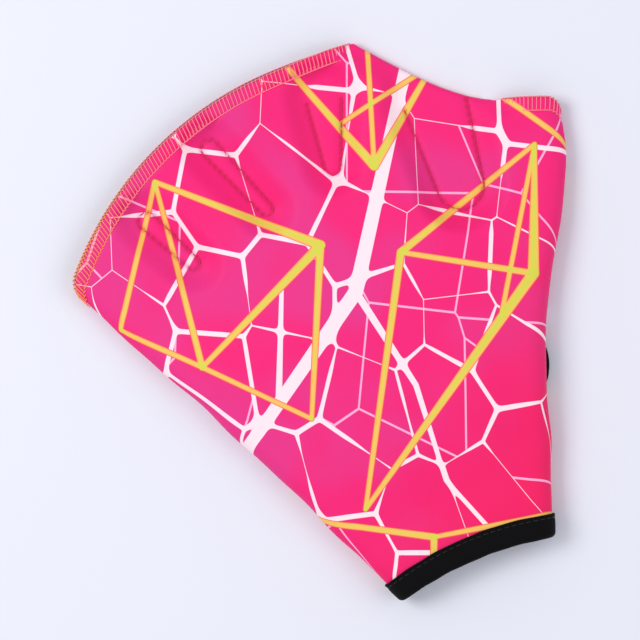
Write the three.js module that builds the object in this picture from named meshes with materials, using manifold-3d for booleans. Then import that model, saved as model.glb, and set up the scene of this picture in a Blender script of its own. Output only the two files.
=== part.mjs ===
// Webbed swim glove for a left hand, lying on its palm with the back of the hand up.
// Millimetres. +Y runs from wrist to fingers, +X toward the thumb, +Z up out of the back of the hand.
// The origin lies on the flat underside of the palm, under the middle of the glove.
// In plan the glove is a fan: two straight-sided panels open out from a narrow cuff to the finger edge.
import * as THREE from "three";
import { mergeVertices } from "three/addons/utils/BufferGeometryUtils.js";
import Module from "manifold-3d";

// Plan of the fan
const cuffFlatWidth = 70.4; // between the cuff's two corners
const gloveLength = 226; // from the cuff's corner line to the furthest point of the finger edge
const fanHalfAngle = THREE.MathUtils.degToRad(24.1); // each side edge against the length
const fingerArcRadius = 149.4; // curve of the finger edge
const indexRise = 2.4; // how far the index finger's corner stands past that curve
const thumbEndDrop = 34.5; // how far the thumb end lies behind the furthest finger edge
const indexCornerTurn = THREE.MathUtils.degToRad(7.24); // where the finger edge ends
const thumbWebTurn = THREE.MathUtils.degToRad(18.55); // where the thumb end begins
const cuffArch = 4.5; // the cuff's edge bows toward the fingers
const sideDent = 4.5; // deepest hollow of the thumb side
const cornerRadius = 6; // corners at the little finger and the thumb
const originFromCuff = 110; // where the origin lies along the glove
const closedEdgeFall = 1.75; // power of the curve from the index finger's corner down to the thumb end

// Walls and hollows
const wall = 2.5; // neoprene with knit on both faces
const seamGap = 0.3; // between the two panels where they are sewn together
const sideRoll = 9; // width of the rounded side
const cuffCavity = 9; // hollow heights between the panels
const palmCavity = 10;
const channelCavity = 6.5;
const domeRise = 1.5; // extra height in the middle of the hand
const webSlope = 10; // width of the slope from a web up to a finger channel
const webWidth = 27; // widest web, the one beside the thumb
const palmPeek = 1.2; // the palm panel reaches past the back panel at the finger edge
const palmShare = 0.3; // share of the length where the hollow has its full height
const channelShare = 0.5; // share of the length where the hollow starts to turn into finger channels
const channelBlend = 0.35; // share of the length that this takes

// Bindings
const tape = 0.8; // folded black tape
const tapeGap = 0.35; // between the tape and the panel that it wraps
const cuffBindingWidth = 10.5; // whole width that shows
const holeBindingWidth = 6;
const liftSlope = 18; // width of the slope from a binding down to the flat of the palm

// Hole at the thumb's side near the wrist, in the palm panel
const holeLength = 24;
const holeWidth = 20;
const holeFromCuff = 71; // along the side edge, to the hole's middle
const holeFromSide = 15.5; // round the rolled side, to the hole's middle

// Steps of the surfaces
const rollSteps = 4;
const backSteps = 38;
const palmSteps = 22;
const rowSteps = 27;
const loopSteps = 32;
const foldSteps = 4;
const cuffSteps = 12;
const closedEdgeSteps = 12;
const settlingSteps = 4; // rounds that settle where a column meets the glove's edges
const cuffRowShares = [0, 0.02, 0.05, 0.1]; // the rows nearest the cuff, as shares of the length
const rowCrowding = 0.72; // under 1, the other rows crowd toward the fingers
const columnCrowding = 2.2; // how much closer the columns lie at a web or corner
const crowdingWidth = 0.035; // how far that reaches, as a share of the width
const weldDistance = 1e-5;

// How far each side edge strays from a straight line, in shares of sideDent, along the edge
const littleSide = [
  { along: 0, out: 0 },
  { along: 0.5, out: -0.4 },
  { along: 1, out: 0 },
];
const thumbSide = [
  { along: 0, out: 0 },
  { along: 0.2, out: -0.35 },
  { along: 0.5, out: -1 },
  { along: 0.67, out: 0 },
  { along: 0.86, out: 0.6 },
  { along: 1, out: 0.1 },
];

// Webs between neighbouring digits, where the panels are stitched together.
// Turns are shares of fanHalfAngle, reaches are shares of the glove's edge there,
// and halves are shares of webWidth. One row for each web, from the little finger's to the thumb's.
const webs = [
  { tipTurn: -0.623, tipReach: 0.94, tipHalf: 0.14, baseTurn: -0.58, baseReach: 0.847, baseHalf: 0.1 },
  { tipTurn: -0.291, tipReach: 0.949, tipHalf: 0.14, baseTurn: -0.216, baseReach: 0.833, baseHalf: 0.1 },
  { tipTurn: 0.146, tipReach: 0.937, tipHalf: 0.28, baseTurn: 0.092, baseReach: 0.846, baseHalf: 0.13 },
  { tipTurn: 0.531, tipReach: 0.975, tipHalf: 0.5, baseTurn: 0.576, baseReach: 0.85, baseHalf: 0.37 },
];

const fanBack = cuffFlatWidth / 2 / Math.tan(fanHalfAngle);
const cuffCorner = cuffFlatWidth / 2 / Math.sin(fanHalfAngle);
const fullReach = gloveLength + fanBack;
const thumbReach = fullReach - thumbEndDrop;

const clamp01 = (x) => Math.min(1, Math.max(0, x));
const mix = (a, b, t) => a + (b - a) * t;
const ease = (x) => clamp01(x) * clamp01(x) * (3 - 2 * clamp01(x));

// A smooth curve through a short table's rows
function curveThrough(rows, at) {
  const last = rows.length - 1;
  let i = 0;
  while (i < last - 1 && at > rows[i + 1].along) i += 1;
  const [a, b] = [rows[i], rows[i + 1]];
  const before = rows[Math.max(0, i - 1)];
  const after = rows[Math.min(last, i + 2)];
  const span = b.along - a.along;
  const t = clamp01((at - a.along) / span);
  const slopeA = ((b.out - before.out) / (b.along - before.along)) * span;
  const slopeB = ((after.out - a.out) / (after.along - a.along)) * span;
  const t2 = t * t;
  const t3 = t2 * t;
  const fromA = (2 * t3 - 3 * t2 + 1) * a.out + (t3 - 2 * t2 + t) * slopeA;
  const fromB = (3 * t2 - 2 * t3) * b.out + (t3 - t2) * slopeB;
  return fromA + fromB;
}

// The glove's outline, as distances from the fan's point
function edgeReach(turn) {
  const back = fullReach - fingerArcRadius;
  const arc = (angle) =>
    back * Math.cos(angle) +
    Math.sqrt(fingerArcRadius ** 2 - (back * Math.sin(angle)) ** 2) +
    indexRise * clamp01(angle / indexCornerTurn) ** 2;
  if (turn <= indexCornerTurn) return arc(turn);
  const along = clamp01((turn - indexCornerTurn) / (thumbWebTurn - indexCornerTurn));
  return thumbReach + (arc(indexCornerTurn) - thumbReach) * (1 - along) ** closedEdgeFall;
}

function cuffReach(turn) {
  return mix(fanBack + cuffArch, cuffCorner, clamp01((turn / fanHalfAngle) ** 2));
}

function sideTurns(reach) {
  const along = clamp01((reach - cuffCorner) / (thumbReach - cuffCorner));
  return {
    little: -fanHalfAngle - (sideDent * curveThrough(littleSide, along)) / reach,
    thumb: fanHalfAngle + (sideDent * curveThrough(thumbSide, along)) / reach,
  };
}

const inPlan = (turn, reach) => [reach * Math.sin(turn), reach * Math.cos(turn)];

// A column runs from cuff to finger edge. One on a rolled side has a side and a roll from 0 at the seam
// to a quarter turn, and any other has a share of the way from the little finger's side to the thumb's.
function columnTurn(column, reach, outward) {
  const sides = sideTurns(reach);
  if (column.side) {
    const inset = sideRoll - (sideRoll - wall / 2 + outward) * Math.cos(column.roll);
    return column.side < 0 ? sides.little + inset / reach : sides.thumb - inset / reach;
  }
  return mix(sides.little + sideRoll / reach, sides.thumb - sideRoll / reach, column.share);
}

function columnEnds(column) {
  const inset = column.side ? sideRoll * (1 - Math.cos(column.roll)) : sideRoll;
  const missing = cornerRadius - Math.min(inset, cornerRadius);
  const cornerDrop = cornerRadius - Math.sqrt(cornerRadius ** 2 - missing ** 2);
  let top = fullReach;
  let bottom = cuffCorner;
  for (let i = 0; i < settlingSteps; i += 1) {
    top = edgeReach(columnTurn(column, top, wall / 2));
    bottom = cuffReach(columnTurn(column, bottom, wall / 2));
  }
  return { bottom, top: top - cornerDrop };
}

// Plan distance from a point to a web, which is a tapered bar with round ends
function webDistance(web, x, y) {
  const tipTurn = web.tipTurn * fanHalfAngle;
  const baseTurn = web.baseTurn * fanHalfAngle;
  const [tx, ty] = inPlan(tipTurn, web.tipReach * edgeReach(tipTurn));
  const [bx, by] = inPlan(baseTurn, web.baseReach * edgeReach(baseTurn));
  const [dx, dy] = [bx - tx, by - ty];
  const t = clamp01(((x - tx) * dx + (y - ty) * dy) / (dx * dx + dy * dy));
  const half = webWidth * mix(web.tipHalf, web.baseHalf, t);
  return Math.max(0, Math.hypot(x - tx - t * dx, y - ty - t * dy) - half);
}

// The closed edge between the index finger and the thumb
const closedEdge = Array.from({ length: closedEdgeSteps + 1 }, (_, i) => {
  const turn = mix(indexCornerTurn, thumbWebTurn, i / closedEdgeSteps);
  return inPlan(turn, edgeReach(turn));
});

function closedEdgeDistance(x, y) {
  let nearest = Infinity;
  for (let i = 1; i < closedEdge.length; i += 1) {
    const [ax, ay] = closedEdge[i - 1];
    const [dx, dy] = [closedEdge[i][0] - ax, closedEdge[i][1] - ay];
    const t = clamp01(((x - ax) * dx + (y - ay) * dy) / (dx * dx + dy * dy));
    nearest = Math.min(nearest, Math.hypot(x - ax - t * dx, y - ay - t * dy));
  }
  return nearest;
}

// Height of the hollow between the panels
function hollow(share, reach) {
  const sides = sideTurns(reach);
  const turn = mix(sides.little + sideRoll / reach, sides.thumb - sideRoll / reach, share);
  const [x, y] = inPlan(turn, reach);
  const along = clamp01((reach - cuffCorner) / (fullReach - cuffCorner));
  const middle = 1 - (2 * clamp01(share) - 1) ** 2;
  const raised = ease(along / palmShare);
  const hand = mix(cuffCavity, palmCavity, raised) + domeRise * middle * raised;
  const open = mix(hand, channelCavity, ease((along - channelShare) / channelBlend));
  let sewn = ease(closedEdgeDistance(x, y) / webSlope);
  for (const web of webs) sewn *= ease(webDistance(web, x, y) / webSlope);
  return mix(seamGap, open, sewn);
}

// The glove lies over its own bindings, so that it is a tape's thickness higher there
function tapeLift(turn, reach) {
  const [x, y] = inPlan(turn, reach);
  const holeReach = cuffCorner + holeFromCuff;
  const [hx, hy] = inPlan(sideTurns(holeReach).thumb - holeFromSide / holeReach, holeReach);
  const pastCuff = reach - cuffReach(turn) - cuffBindingWidth;
  const pastHole = Math.hypot(x - hx, y - hy) - holeLength / 2 - holeBindingWidth;
  return (tape + tapeGap) * Math.max(1 - ease(pastCuff / liftSlope), 1 - ease(pastHole / liftSlope));
}

// A point of a panel, given its column, its distance from the fan's point and how far it lies
// outside the middle of the wall
function panelPoint(panel, column, reach, outward) {
  const turn = columnTurn(column, reach, outward);
  const [x, y] = inPlan(turn, reach);
  const up = panel === "back" ? 1 : -1;
  const share = column.side ? (column.side < 0 ? 0 : 1) : column.share;
  const stack = 2 * wall + hollow(share, reach);
  let z;
  if (column.side) {
    const rise = stack / 2 - seamGap / 2 - wall / 2;
    z = stack / 2 + up * (seamGap / 2 + (rise + outward) * Math.sin(column.roll));
  } else {
    z = panel === "back" ? stack - wall / 2 + outward : wall / 2 - outward;
  }
  return new THREE.Vector3(x, y - fanBack - originFromCuff, z + tapeLift(turn, reach));
}

// Columns crowd where the finger edge has its corners and, on the back, along the webs
function spreadShares(steps, focus) {
  const near = (s, f) => Math.exp(-(((s - f) / crowdingWidth) ** 2));
  const weight = (s) => 1 + focus.reduce((sum, f) => sum + columnCrowding * near(s, f), 0);
  const fine = 400;
  const running = [0];
  for (let i = 0; i < fine; i += 1) running.push(running[i] + weight((i + 0.5) / fine));
  const shares = [];
  for (let k = 0, i = 0; k <= steps; k += 1) {
    const goal = (running[fine] * k) / steps;
    while (i < fine - 1 && running[i + 1] < goal) i += 1;
    shares.push((i + (goal - running[i]) / (running[i + 1] - running[i])) / fine);
  }
  return shares;
}

function panelColumns(steps, focus) {
  const columns = [];
  const roll = (i) => (Math.PI / 2) * (i / rollSteps);
  for (let i = 0; i < rollSteps; i += 1) columns.push({ side: -1, roll: roll(i) });
  for (const share of spreadShares(steps, focus)) columns.push({ share });
  for (let i = rollSteps - 1; i >= 0; i -= 1) columns.push({ side: 1, roll: roll(i) });
  return columns;
}

// A closed body from a grid of points on its outer face and the same grid on its inner face
function closedShell(outer, inner) {
  const rows = outer.length;
  const wide = outer[0].length;
  const points = [...outer.flat(), ...inner.flat()];
  const at = (layer, j, i) => layer * rows * wide + j * wide + i;
  const index = [];
  const quad = (a, b, c, d) => index.push(a, b, c, a, c, d);
  for (let j = 0; j + 1 < rows; j += 1) {
    for (let i = 0; i + 1 < wide; i += 1) {
      quad(at(0, j, i), at(0, j, i + 1), at(0, j + 1, i + 1), at(0, j + 1, i));
      quad(at(1, j, i), at(1, j + 1, i), at(1, j + 1, i + 1), at(1, j, i + 1));
    }
  }
  for (let i = 0; i + 1 < wide; i += 1) {
    quad(at(1, 0, i), at(1, 0, i + 1), at(0, 0, i + 1), at(0, 0, i));
    quad(at(0, rows - 1, i), at(0, rows - 1, i + 1), at(1, rows - 1, i + 1), at(1, rows - 1, i));
  }
  for (let j = 0; j + 1 < rows; j += 1) {
    quad(at(0, j, 0), at(0, j + 1, 0), at(1, j + 1, 0), at(1, j, 0));
    quad(at(1, j, wide - 1), at(1, j + 1, wide - 1), at(0, j + 1, wide - 1), at(0, j, wide - 1));
  }
  return indexed(points, index);
}

// A closed ring from one section for each station round a loop
function closedRing(sections) {
  const stations = sections.length;
  const around = sections[0].length;
  const index = [];
  for (let s = 0; s < stations; s += 1) {
    for (let k = 0; k < around; k += 1) {
      const [s2, k2] = [(s + 1) % stations, (k + 1) % around];
      const [a, b] = [s * around + k, s2 * around + k];
      const [c, d] = [s2 * around + k2, s * around + k2];
      index.push(a, b, c, a, c, d);
    }
  }
  return indexed(sections.flat(), index);
}

function indexed(points, index) {
  const geometry = new THREE.BufferGeometry();
  const numbers = points.flatMap((p) => [p.x, p.y, p.z]);
  geometry.setAttribute("position", new THREE.Float32BufferAttribute(numbers, 3));
  geometry.setIndex(index);
  return geometry;
}

const flip = (geometry) => {
  const index = geometry.index.array;
  for (let i = 0; i < index.length; i += 3) [index[i + 1], index[i + 2]] = [index[i + 2], index[i + 1]];
  return geometry;
};

// The two panels
function panelBody(panel, steps, focus) {
  const columns = panelColumns(steps, focus);
  const ends = columns.map(columnEnds);
  const shares = [...cuffRowShares];
  const lastFixed = cuffRowShares.at(-1);
  const openRows = rowSteps - (cuffRowShares.length - 1);
  for (let j = 1; j <= openRows; j += 1) shares.push(mix(lastFixed, 1, (j / openRows) ** rowCrowding));
  const layer = (outward) =>
    shares.map((share) =>
      columns.map((column, i) => {
        const turn = columnTurn(column, ends[i].top, wall / 2);
        const peek = panel === "back" ? palmPeek * ease((indexCornerTurn - turn) / indexCornerTurn) : 0;
        return panelPoint(panel, column, mix(ends[i].bottom, ends[i].top - peek, share), outward);
      }),
    );
  const body = closedShell(layer(wall / 2), layer(-wall / 2));
  return panel === "back" ? body : flip(body);
}

// Section of a folded tape round a wall's edge: outward from the wall's middle, and inward from its edge
function tapeSection(width) {
  const near = wall / 2 + tapeGap;
  const far = near + tape;
  const leaf = width - far;
  const arc = (radius, from, to) =>
    Array.from({ length: foldSteps + 1 }, (_, k) => {
      const angle = mix(from, to, k / foldSteps);
      return { outward: radius * Math.cos(angle), inward: -radius * Math.sin(angle) };
    });
  return [
    { outward: far, inward: leaf },
    ...arc(far, 0, Math.PI),
    { outward: -far, inward: leaf },
    { outward: -near, inward: leaf },
    ...arc(near, Math.PI, 0),
    { outward: near, inward: leaf },
  ];
}

// Binding round the cuff, over the edges of both panels
function cuffBindingBody() {
  const shape = tapeSection(cuffBindingWidth);
  const columns = panelColumns(cuffSteps, []);
  const stations = [
    ...columns.map((column) => ({ panel: "back", column })),
    ...columns.map((column) => ({ panel: "palm", column })).reverse(),
  ];
  return closedRing(
    stations.map(({ panel, column }) => {
      const bottom = columnEnds(column).bottom;
      return shape.map((p) => panelPoint(panel, column, bottom + p.inward, p.outward));
    }),
  );
}

// Hole by the thumb's side: a place on the palm panel, measured round the rolled side from the seam
function bySide(fromSide, reach, outward) {
  const stack = 2 * wall + hollow(1, reach);
  const rise = stack / 2 - seamGap / 2 - wall / 2;
  const rollLength = (Math.PI / 2) * Math.sqrt(((sideRoll - wall / 2) ** 2 + rise ** 2) / 2);
  if (fromSide < rollLength) {
    return panelPoint("palm", { side: 1, roll: (Math.PI / 2) * (fromSide / rollLength) }, reach, outward);
  }
  const sides = sideTurns(reach);
  const flatWidth = (sides.thumb - sides.little) * reach - 2 * sideRoll;
  return panelPoint("palm", { share: 1 - (fromSide - rollLength) / flatWidth }, reach, outward);
}

function holePoint(angle, grow, outward) {
  const [a, b] = [holeWidth / 2, holeLength / 2];
  const normal = new THREE.Vector2(Math.cos(angle) / a, Math.sin(angle) / b).normalize();
  const fromSide = holeFromSide + a * Math.cos(angle) + grow * normal.x;
  return bySide(fromSide, cuffCorner + holeFromCuff + b * Math.sin(angle) + grow * normal.y, outward);
}

function holeTool() {
  const rings = [0.25, 0.5, 0.75, 1];
  const reach = cuffCorner + holeFromCuff;
  const spot = (share, k, outward) => {
    const angle = (2 * Math.PI * k) / loopSteps;
    const across = (holeWidth / 2) * Math.cos(angle) * share;
    return bySide(holeFromSide + across, reach + (holeLength / 2) * Math.sin(angle) * share, outward);
  };
  const points = [];
  const index = [];
  for (const outward of [wall, -wall]) {
    points.push(bySide(holeFromSide, reach, outward));
    for (const share of rings) for (let k = 0; k < loopSteps; k += 1) points.push(spot(share, k, outward));
  }
  const layerSize = 1 + rings.length * loopSteps;
  const at = (layer, ring, k) => layer * layerSize + 1 + ring * loopSteps + (k % loopSteps);
  for (let k = 0; k < loopSteps; k += 1) {
    index.push(0, at(0, 0, k), at(0, 0, k + 1));
    index.push(layerSize, at(1, 0, k + 1), at(1, 0, k));
    for (let ring = 0; ring + 1 < rings.length; ring += 1) {
      const [a, b, c, d] = [at(0, ring, k), at(0, ring + 1, k), at(0, ring + 1, k + 1), at(0, ring, k + 1)];
      index.push(a, b, c, a, c, d);
      const [e, f, g, h] = [at(1, ring, k), at(1, ring, k + 1), at(1, ring + 1, k + 1), at(1, ring + 1, k)];
      index.push(e, f, g, e, g, h);
    }
    const rim = rings.length - 1;
    const [a, b, c, d] = [at(0, rim, k), at(1, rim, k), at(1, rim, k + 1), at(0, rim, k + 1)];
    index.push(a, b, c, a, c, d);
  }
  return indexed(points, index);
}

function holeBindingBody() {
  const shape = tapeSection(holeBindingWidth);
  const sections = Array.from({ length: loopSteps }, (_, k) => {
    const angle = (2 * Math.PI * k) / loopSteps;
    return shape.map((p) => holePoint(angle, p.inward, p.outward));
  });
  return closedRing(sections);
}

// Cutting the hole
const wasm = await Module();
wasm.setup();

function solid(geometry) {
  const welded = mergeVertices(geometry, weldDistance);
  return new wasm.Manifold(
    new wasm.Mesh({
      numProp: 3,
      vertProperties: new Float32Array(welded.attributes.position.array),
      triVerts: new Uint32Array(welded.index.array),
    }),
  );
}

function fromSolid(made) {
  const mesh = made.getMesh();
  const geometry = new THREE.BufferGeometry();
  geometry.setAttribute("position", new THREE.BufferAttribute(new Float32Array(mesh.vertProperties), 3));
  geometry.setIndex(new THREE.BufferAttribute(new Uint32Array(mesh.triVerts), 1));
  return geometry;
}

const webShares = webs.flatMap((web) => [(web.tipTurn + 1) / 2, (web.baseTurn + 1) / 2]);
const cornerShares = [indexCornerTurn, thumbWebTurn].map((turn) => (turn / fanHalfAngle + 1) / 2);
const palmBlank = panelBody("palm", palmSteps, cornerShares);

// Assembly
const printed = { color: 0xf0286e, roughness: 0.75, metalness: 0 };
const black = { color: 0x121214, roughness: 0.85, metalness: 0 };
const group = new THREE.Group();

function add(name, geometry, finish) {
  const faceted = geometry.toNonIndexed();
  faceted.computeVertexNormals();
  const mesh = new THREE.Mesh(faceted, new THREE.MeshStandardMaterial(finish));
  mesh.name = name;
  group.add(mesh);
}

add("back_panel", panelBody("back", backSteps, [...webShares, cornerShares[0]]), printed);
add("palm_panel", fromSolid(solid(palmBlank).subtract(solid(holeTool()))), printed);
add("cuff_binding", flip(cuffBindingBody()), black);
add("hole_binding", holeBindingBody(), black);

export default group;
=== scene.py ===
# %% [markdown]
# A webbed swim glove, dressed for its portrait. The frame hands over four hard stand-ins: two panels and
# the tapes round the cuff and the side hole. This lesson gives them the look of printed neoprene, folded
# tape and thread.

# %% Load the frame
import math
from collections import namedtuple
from functools import partialmethod

import bmesh
import bpy
import numpy as np
from mathutils import Matrix, Vector


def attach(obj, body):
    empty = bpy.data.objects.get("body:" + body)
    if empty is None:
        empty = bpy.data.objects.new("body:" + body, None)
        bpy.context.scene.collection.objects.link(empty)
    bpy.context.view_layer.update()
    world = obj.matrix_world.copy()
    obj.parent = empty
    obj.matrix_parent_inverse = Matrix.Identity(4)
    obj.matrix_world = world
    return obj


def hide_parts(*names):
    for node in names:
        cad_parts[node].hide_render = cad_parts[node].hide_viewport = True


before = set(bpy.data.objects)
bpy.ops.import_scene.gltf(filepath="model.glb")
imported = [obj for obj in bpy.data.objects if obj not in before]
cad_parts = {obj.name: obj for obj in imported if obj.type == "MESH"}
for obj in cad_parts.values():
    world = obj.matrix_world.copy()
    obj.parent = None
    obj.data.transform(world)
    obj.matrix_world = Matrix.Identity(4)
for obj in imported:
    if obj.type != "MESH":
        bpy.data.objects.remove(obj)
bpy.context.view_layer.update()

# %% [markdown]
# The camera looks straight down, as in the photograph. A long lens far above keeps the sides from leaning.
# The picture is square and turned by 23 degrees, and the glove fills most of it.

# %% Camera
LEAN = math.radians(23)
VIEW_WIDTH = 0.272
LENS_HEIGHT = 1.9
LOOK_AT = Vector((-0.0205, 0.011, 0.0))
SENSOR = 36.0


def add_object(name, data):
    thing = bpy.data.objects.new(name, data)
    bpy.context.scene.collection.objects.link(thing)
    return thing


camera_data = bpy.data.cameras.new("camera")
camera_data.sensor_width = SENSOR
camera_data.lens = SENSOR * LENS_HEIGHT / VIEW_WIDTH
camera_data.clip_end = 20.0
camera = add_object("camera", camera_data)
above = LOOK_AT + Vector((0, 0, LENS_HEIGHT))
camera.matrix_world = Matrix.Translation(above) @ Matrix.Rotation(-LEAN, 4, "Z")
bpy.context.scene.camera = camera
print("lens %.0f mm" % camera_data.lens)

# %% [markdown]
# A pale table and soft studio light: one broad panel of light high on the left, a weaker one on the right,
# and a bright even sky that keeps every shadow soft.

# %% Table and light
def plain_material(name, colour, roughness, sheen=0.0, sheen_roughness=0.5, specular=0.3):
    material = bpy.data.materials.new(name)
    material.use_nodes = True
    sockets = material.node_tree.nodes["Principled BSDF"].inputs
    values = {"Base Color": colour, "Roughness": roughness, "Specular IOR Level": specular}
    values.update({"Sheen Weight": sheen, "Sheen Roughness": sheen_roughness})
    for label, value in values.items():
        sockets[label].default_value = value
    return material, material.node_tree, sockets


table_mesh = bpy.data.meshes.new("table")
table_mesh.from_pydata([(-3, -3, 0), (3, -3, 0), (3, 3, 0), (-3, 3, 0)], [], [(0, 1, 2, 3)])
table_mesh.materials.append(plain_material("table_paint", (0.79, 0.8, 0.885, 1), 0.75, specular=0.2)[0])
table = add_object("table", table_mesh)


def softbox(name, place, width, power, colour):
    """A square panel of light that faces the glove."""
    light = bpy.data.lights.new(name, "AREA")
    light.shape = "SQUARE"
    light.size = width
    light.energy = power
    light.color = colour
    lamp = add_object(name, light)
    lamp.location = place
    lamp.rotation_euler = (-Vector(place)).to_track_quat("-Z", "Y").to_euler()


softbox("key_light", (-0.75, 0.55, 1.15), 0.7, 10.8, (1.0, 0.985, 0.97))
softbox("fill_light", (0.9, -0.35, 1.0), 0.9, 3.8, (0.95, 0.97, 1.0))

sky = bpy.data.worlds.new("studio")
sky.use_nodes = True
sky_light = sky.node_tree.nodes["Background"].inputs
sky_light["Color"].default_value = (0.94, 0.96, 1.0, 1)
sky_light["Strength"].default_value = 0.625
bpy.context.scene.world = sky
bpy.context.scene.view_settings.view_transform = "Standard"

# %% [markdown]
# In plan the glove is a fan about a point behind the wrist, so a place on it is a turn about that point and
# a reach from it, in millimetres. The sizes are those of the solids, but the finger channels lie flatter
# and the seams touch.

# %% Sizes of the glove
CUFF_FLAT_WIDTH = 70.4
GLOVE_LENGTH = 226.0
HALF_ANGLE = math.radians(24.1)
FINGER_ARC = 149.4
INDEX_RISE = 2.4
THUMB_END_DROP = 34.5
INDEX_CORNER = math.radians(7.24)
THUMB_CORNER = math.radians(18.55)
CLOSED_EDGE_FALL = 1.75
CUFF_ARCH = 4.5
SIDE_DENT = 4.5
CORNER_RADIUS = 6.0
ORIGIN_FROM_CUFF = 110.0
WALL = 2.5
SIDE_ROLL = 9.0
CUFF_CAVITY = 9.0
PALM_CAVITY = 10.0
CHANNEL_CAVITY = 5.3
DOME_RISE = 1.5
PALM_SHARE = 0.3
CHANNEL_SHARE = 0.5
CHANNEL_BLEND = 0.35
WEB_SLOPE = 11.5
WEB_WIDTH = 27.0
PALM_PEEK = 1.2
TAPE = 0.8
TAPE_GAP = 0.35
CUFF_BINDING = 10.5
HOLE_BINDING = 6.0
LIFT_SLOPE = 18.0
HOLE_LENGTH = 24.0
HOLE_WIDTH = 20.0
HOLE_FROM_CUFF = 71.0
HOLE_FROM_SIDE = 15.5
SEAM_GAP = 0.04

# How far the two side edges stray from straight lines, as (share of the way, share of SIDE_DENT)
LITTLE_SIDE = [(0, 0), (0.5, -0.4), (1, 0)]
THUMB_SIDE = [(0, 0), (0.2, -0.35), (0.5, -1), (0.67, 0), (0.86, 0.6), (1, 0.1)]

# The webs, from the little finger's to the thumb's: turn, reach and half width at the tip and then at the
# base, as shares of HALF_ANGLE, of the edge's reach and of WEB_WIDTH, and whether the tip is stitched round
WEB_ROWS = [
    (-0.623, 0.94, 0.14, -0.58, 0.847, 0.1, True),
    (-0.291, 0.949, 0.14, -0.216, 0.833, 0.1, True),
    (0.146, 0.937, 0.28, 0.092, 0.846, 0.13, False),
    (0.531, 0.975, 0.5, 0.576, 0.85, 0.37, False),
]

FAN_BACK = CUFF_FLAT_WIDTH / 2 / math.tan(HALF_ANGLE)
CUFF_CORNER = CUFF_FLAT_WIDTH / 2 / math.sin(HALF_ANGLE)
FULL_REACH = GLOVE_LENGTH + FAN_BACK
THUMB_REACH = FULL_REACH - THUMB_END_DROP
HOLE_REACH = CUFF_CORNER + HOLE_FROM_CUFF
CLOSED_EDGE_POINTS = 13
QUARTER = math.pi / 2

# %% [markdown]
# The outline. Each function takes whole arrays, so that a panel of eighty thousand points takes a moment.


# %% Outline in plan
def mix(a, b, share):
    return a + (b - a) * share


def ease(x):
    x = np.clip(x, 0, 1)
    return x * x * (3 - 2 * x)


def curve_through(rows, at):
    """A smooth curve through a short table."""
    x, y = np.array(rows, float).T
    wide_x, wide_y = np.pad(x, 1, "edge"), np.pad(y, 1, "edge")
    slope = (wide_y[2:] - wide_y[:-2]) / (wide_x[2:] - wide_x[:-2])
    at = np.clip(at, 0, 1)
    i = np.clip(np.searchsorted(x, at, "right") - 1, 0, len(x) - 2)
    span = x[i + 1] - x[i]
    t = (at - x[i]) / span
    from_start = (2 * t**3 - 3 * t**2 + 1) * y[i] + (t**3 - 2 * t**2 + t) * slope[i] * span
    return from_start + (3 * t**2 - 2 * t**3) * y[i + 1] + (t**3 - t**2) * slope[i + 1] * span


def finger_arc(turn):
    back = FULL_REACH - FINGER_ARC
    rise = INDEX_RISE * np.clip(turn / INDEX_CORNER, 0, 1) ** 2
    return back * np.cos(turn) + np.sqrt(FINGER_ARC**2 - (back * np.sin(turn)) ** 2) + rise


def edge_reach(turn):
    along = np.clip((turn - INDEX_CORNER) / (THUMB_CORNER - INDEX_CORNER), 0, 1)
    thumb_part = mix(THUMB_REACH, finger_arc(INDEX_CORNER), (1 - along) ** CLOSED_EDGE_FALL)
    return np.where(turn <= INDEX_CORNER, finger_arc(np.minimum(turn, INDEX_CORNER)), thumb_part)


def cuff_reach(turn):
    return mix(FAN_BACK + CUFF_ARCH, CUFF_CORNER, np.clip((turn / HALF_ANGLE) ** 2, 0, 1))


def side_turns(reach):
    along = (reach - CUFF_CORNER) / (THUMB_REACH - CUFF_CORNER)
    little = -HALF_ANGLE - SIDE_DENT * curve_through(LITTLE_SIDE, along) / reach
    thumb = HALF_ANGLE + SIDE_DENT * curve_through(THUMB_SIDE, along) / reach
    return little, thumb


def flat_turns(reach):
    """The flat middle of a panel, between its rolled sides."""
    little, thumb = side_turns(reach)
    return little + SIDE_ROLL / reach, thumb - SIDE_ROLL / reach


def steps(count, end=1.0):
    """Even steps from zero that stop short of the end."""
    return np.linspace(0, end, count, endpoint=False)


def bell(x, width):
    return np.exp(-((x / width) ** 2))


def in_plan(turn, reach):
    return reach * np.sin(turn), reach * np.cos(turn)


def from_line(x, y, start, end):
    """Distance from a line between two places, and the share of the way along it."""
    line = end - start
    dx, dy = x - start[0], y - start[1]
    share = (dx * line[0] + dy * line[1]) / (line @ line)
    held = np.clip(share, 0, 1)
    return np.hypot(dx - held * line[0], dy - held * line[1]), share


def web_place(turn, reach):
    turn = turn * HALF_ANGLE
    return np.array(in_plan(turn, reach * edge_reach(turn)))


Web = namedtuple("Web", "tip base tip_half base_half closed")
WEBS = []
for turn_a, reach_a, half_a, turn_b, reach_b, half_b, closed in WEB_ROWS:
    ends = web_place(turn_a, reach_a), web_place(turn_b, reach_b)
    WEBS.append(Web(*ends, half_a * WEB_WIDTH, half_b * WEB_WIDTH, closed))


def web_distance(web, x, y):
    """Distance outside a web, and the share of the way from its tip to its base."""
    distance, share = from_line(x, y, web.tip, web.base)
    return distance - mix(web.tip_half, web.base_half, np.clip(share, 0, 1)), share


closed_turns = np.linspace(INDEX_CORNER, THUMB_CORNER, CLOSED_EDGE_POINTS)
CLOSED_EDGE = np.stack(in_plan(closed_turns, edge_reach(closed_turns)), 1)

# %% [markdown]
# The hollow is tall over the palm, lower in the five finger channels, and closed where a web is stitched. A
# point of a panel has three numbers: its column, its reach, and how far it lies outside the middle of the
# wall. A column is on a rolled side, with an angle, or in between, with a share.

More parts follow.
